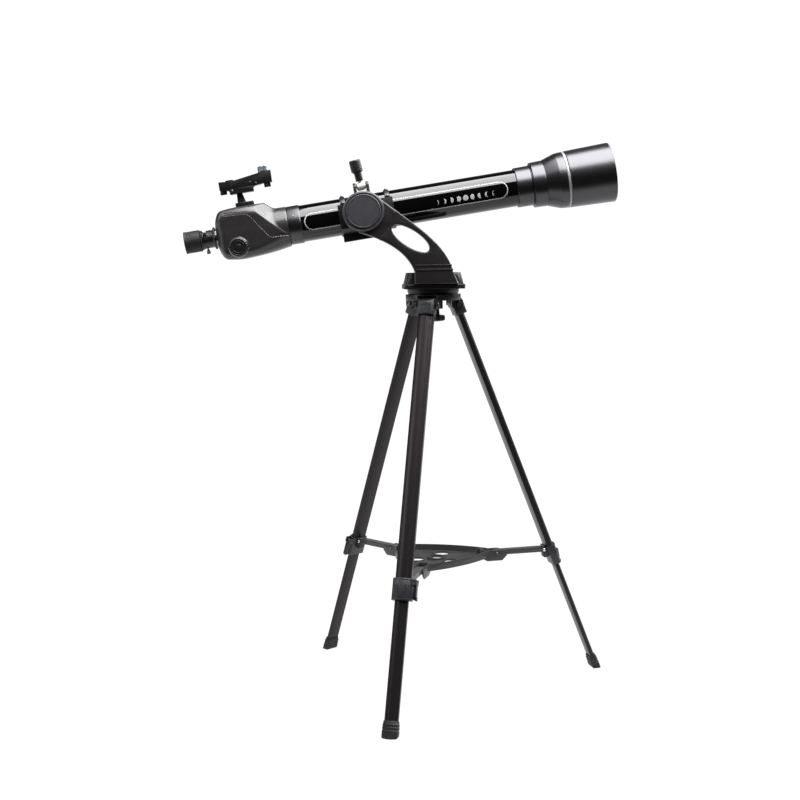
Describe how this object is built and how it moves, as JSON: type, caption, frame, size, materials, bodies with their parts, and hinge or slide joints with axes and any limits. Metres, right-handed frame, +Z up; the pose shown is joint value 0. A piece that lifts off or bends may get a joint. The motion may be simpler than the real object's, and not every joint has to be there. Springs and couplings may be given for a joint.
{
  "type": "refractor telescope on tripod",
  "caption": "Small glossy black refractor telescope with a red-dot style finder, on a one-arm altazimuth head and a folding aluminium tripod with accessory tray.",
  "frame": {"origin": "on the floor, under the middle of the whole object's bounding box; the azimuth axis stands at x +62.8 mm, y +32.8 mm", "axes": "+Z up, +X the level direction in which the tube points at rest, +Y away from the side that carries the arm"},
  "size_m": [0.8564, 0.6093, 1.0845],
  "materials": {
    "hub_plastic": "fine moulded satin",
    "steel": "turned",
    "leg_aluminium": "dark anodised satin",
    "clamp_plastic": "fine moulded satin",
    "foot_rubber": "matte",
    "brace_steel": "satin",
    "tray_plastic": "satin",
    "arm_plastic": "fine textured",
    "cap_plastic": "fine textured",
    "tube_black": "high-gloss black enamel",
    "collar_plastic": "semi-gloss",
    "housing_plastic": "metallic graphite satin",
    "knob_plastic": "ribbed",
    "brass": "turned",
    "chrome": "polished",
    "eyepiece_plastic": "semi-gloss",
    "eyecup_rubber": "matte",
    "glass": "coated",
    "cell_plastic": "metallic graphite gloss",
    "finder_plastic": "moulded"
  },
  "bodies": {
    "tripod": {"tripod_hub": "hub_plastic", "hinge_pins": "steel"},
    "leg_1": {"leg_top_cap_1": "clamp_plastic", "leg_upper_1": "leg_aluminium", "leg_clamp_1": "clamp_plastic"},
    "lower_1": {"leg_lower_1": "leg_aluminium", "leg_foot_1": "foot_rubber"},
    "lever_1": {"leg_lever_1": "clamp_plastic"},
    "brace_1": {"brace_1": "brace_steel"},
    "leg_2": {"leg_top_cap_2": "clamp_plastic", "leg_upper_2": "leg_aluminium", "leg_clamp_2": "clamp_plastic"},
    "lower_2": {"leg_lower_2": "leg_aluminium", "leg_foot_2": "foot_rubber"},
    "lever_2": {"leg_lever_2": "clamp_plastic"},
    "brace_2": {"brace_2": "brace_steel"},
    "leg_3": {"leg_top_cap_3": "clamp_plastic", "leg_upper_3": "leg_aluminium", "leg_clamp_3": "clamp_plastic"},
    "lower_3": {"leg_lower_3": "leg_aluminium", "leg_foot_3": "foot_rubber"},
    "lever_3": {"leg_lever_3": "clamp_plastic"},
    "brace_3": {"brace_3": "brace_steel"},
    "tray": {"tray": "tray_plastic"},
    "centre_knob": {"centre_bolt": "steel", "centre_bolt_knob": "knob_plastic"},
    "head": {"azimuth_base": "arm_plastic", "azimuth_washer": "hub_plastic", "mount_arm": "arm_plastic", "altitude_cap": "cap_plastic"},
    "optical_tube": {"altitude_axle": "steel", "altitude_nut": "steel", "cradle_saddle": "hub_plastic", "cradle_straps": "hub_plastic", "tube_screws": "steel", "clamp_bracket": "hub_plastic", "main_tube": "tube_black", "rear_collar": "collar_plastic", "housing_near": "housing_plastic", "housing_far": "housing_plastic", "lens_cell": "cell_plastic", "objective_lens": "glass", "trim_ring": "chrome", "finder_shoe": "finder_plastic"},
    "draw": {"drawtube": "chrome", "eyepiece_holder": "eyepiece_plastic"},
    "focus_knob": {"focus_knobs": "knob_plastic", "focus_pinion": "brass"},
    "eyepiece": {"eyepiece_body": "eyepiece_plastic", "eyecup": "eyecup_rubber", "eyepiece_lens": "glass"},
    "holder_screw_top": {"holder_screw_top": "chrome"},
    "holder_screw_low": {"holder_screw_low": "chrome"},
    "clamp_bolt": {"clamp_bolt": "chrome"},
    "clamp_knob": {"clamp_knob": "knob_plastic"},
    "dew_shield": {"dew_shield": "cell_plastic"},
    "finder_bracket": {"finder_bracket": "finder_plastic"},
    "finder": {"finder_body": "finder_plastic", "finder_window": "glass"},
    "finder_switch": {"finder_switch": "knob_plastic"}
  },
  "joints": [
    {"name": "leg_fold_1", "type": "hinge", "parent": "tripod", "child": "leg_1", "pos_m": [0.04764, -0.01115, 0.772], "axis": [0.9455, -0.3256, 0], "range_deg": [0, 10.29]},
    {"name": "leg_fold_2", "type": "hinge", "parent": "tripod", "child": "leg_2", "pos_m": [0.10842, 0.04168, 0.772], "axis": [-0.1908, 0.9816, 0], "range_deg": [-0.05, 10.34]},
    {"name": "leg_fold_3", "type": "hinge", "parent": "tripod", "child": "leg_3", "pos_m": [0.03227, 0.06791, 0.772], "axis": [-0.7547, -0.6561, 0], "range_deg": [-0.05, 10.34]},
    {"name": "brace_fold_1", "type": "hinge", "parent": "leg_1", "child": "brace_1", "pos_m": [-0.01162, -0.18324, 0.2593], "axis": [-0.9455, 0.3256, 0], "range_deg": [-0.1, 95.49]},
    {"name": "brace_fold_2", "type": "hinge", "parent": "leg_2", "child": "brace_2", "pos_m": [0.28708, 0.07641, 0.2593], "axis": [0.1908, -0.9816, 0], "range_deg": [-0.1, 95.49]},
    {"name": "brace_fold_3", "type": "hinge", "parent": "leg_3", "child": "brace_3", "pos_m": [-0.08714, 0.20526, 0.2593], "axis": [0.7547, 0.6561, 0], "range_deg": [-0.1, 95.49]},
    {"name": "tray_drop", "type": "slide", "parent": "tripod", "child": "tray", "axis": [0, 0, -1], "range_m": [-0.0005, 0.12797]},
    {"name": "leg_extend_1", "type": "slide", "parent": "leg_1", "child": "lower_1", "axis": [-0.117, -0.3399, -0.9331], "range_m": [-0.2, 0.22]},
    {"name": "leg_lever_1_flip", "type": "hinge", "parent": "leg_1", "child": "lever_1", "pos_m": [0.00646, -0.20262, 0.26286], "axis": [-0.3038, -0.8823, 0.3595], "range_deg": [0, 110]},
    {"name": "leg_extend_2", "type": "slide", "parent": "leg_2", "child": "lower_2", "axis": [0.3529, 0.0686, -0.9331], "range_m": [-0.2, 0.22]},
    {"name": "leg_lever_2_flip", "type": "hinge", "parent": "leg_2", "child": "lever_2", "pos_m": [0.29482, 0.10175, 0.26286], "axis": [0.916, 0.1781, 0.3595], "range_deg": [0, 110]},
    {"name": "leg_extend_3", "type": "slide", "parent": "leg_3", "child": "lower_3", "axis": [-0.2359, 0.2713, -0.9331], "range_m": [-0.2, 0.22]},
    {"name": "leg_lever_3_flip", "type": "hinge", "parent": "leg_3", "child": "lever_3", "pos_m": [-0.11296, 0.1993, 0.26286], "axis": [-0.6122, 0.7043, 0.3595], "range_deg": [0, 110]},
    {"name": "azimuth", "type": "hinge", "parent": "tripod", "child": "head", "pos_m": [0.06277, 0.03281, 0.8], "axis": [0, 0, 1], "continuous": true},
    {"name": "centre_knob_turn", "type": "hinge", "parent": "tripod", "child": "centre_knob", "pos_m": [0.06277, 0.03281, 0.743], "axis": [0, 0, 1], "range_deg": [0, 360]},
    {"name": "altitude", "type": "hinge", "parent": "head", "child": "optical_tube", "pos_m": [-0.07472, 0.03281, 0.952], "axis": [0, -1, 0], "range_deg": [-24, 70]},
    {"name": "focus_slide", "type": "slide", "parent": "optical_tube", "child": "draw", "axis": [-0.9888, 0, -0.1495], "range_m": [0, 0.06]},
    {"name": "focus_knob_turn", "type": "hinge", "parent": "optical_tube", "child": "focus_knob", "pos_m": [-0.31704, 0.03281, 0.88906], "axis": [0, -1, 0], "range_deg": [-1, 574]},
    {"name": "eyepiece_pull", "type": "slide", "parent": "draw", "child": "eyepiece", "axis": [-0.9888, 0, -0.1495], "range_m": [0, 0.03]},
    {"name": "holder_screw_top_turn", "type": "hinge", "parent": "draw", "child": "holder_screw_top", "pos_m": [-0.38322, 0.03281, 0.90534], "axis": [-0.0879, -0.809, 0.5812], "range_deg": [0, 720]},
    {"name": "holder_screw_low_turn", "type": "hinge", "parent": "draw", "child": "holder_screw_low", "pos_m": [-0.38322, 0.03281, 0.90534], "axis": [0.1495, 0, -0.9888], "range_deg": [0, 720]},
    {"name": "clamp_swing", "type": "hinge", "parent": "optical_tube", "child": "clamp_bolt", "pos_m": [-0.07682, 0.03281, 1.00529], "axis": [-0.9888, 0, -0.1495], "range_deg": [0, 75]},
    {"name": "clamp_knob_turn", "type": "hinge", "parent": "clamp_bolt", "child": "clamp_knob", "pos_m": [-0.07682, 0.03281, 1.00529], "axis": [-0.2385, 0, 0.9711], "range_deg": [0, 720]},
    {"name": "dew_shield_slide", "type": "slide", "parent": "optical_tube", "child": "dew_shield", "axis": [0.9888, 0, 0.1495], "range_m": [0, 0.06]},
    {"name": "finder_slide", "type": "slide", "parent": "optical_tube", "child": "finder_bracket", "axis": [-0.9888, 0, -0.1495], "range_m": [0, 0.04]},
    {"name": "finder_tilt", "type": "hinge", "parent": "finder_bracket", "child": "finder", "pos_m": [-0.32961, 0.03281, 0.99891], "axis": [0, -1, 0], "range_deg": [-2, 2]},
    {"name": "finder_switch_turn", "type": "hinge", "parent": "finder", "child": "finder_switch", "pos_m": [-0.3473, 0.04481, 1.00888], "axis": [0, 1, 0], "range_deg": [0, 270]}
  ],
  "couplings": [
    {"joint": "leg_fold_2", "follows": "leg_fold_1", "ratio": 1},
    {"joint": "leg_fold_3", "follows": "leg_fold_1", "ratio": 1},
    {"joint": "brace_fold_1", "follows": "leg_fold_1", "ratio": 9.2632},
    {"joint": "brace_fold_2", "follows": "leg_fold_1", "ratio": 9.2632},
    {"joint": "brace_fold_3", "follows": "leg_fold_1", "ratio": 9.2632},
    {"joint": "tray_drop", "follows": "leg_fold_1", "m_per_rad": 0.70942},
    {"joint": "focus_knob_turn", "follows": "focus_slide", "rad_per_m": 166.67}
  ]
}
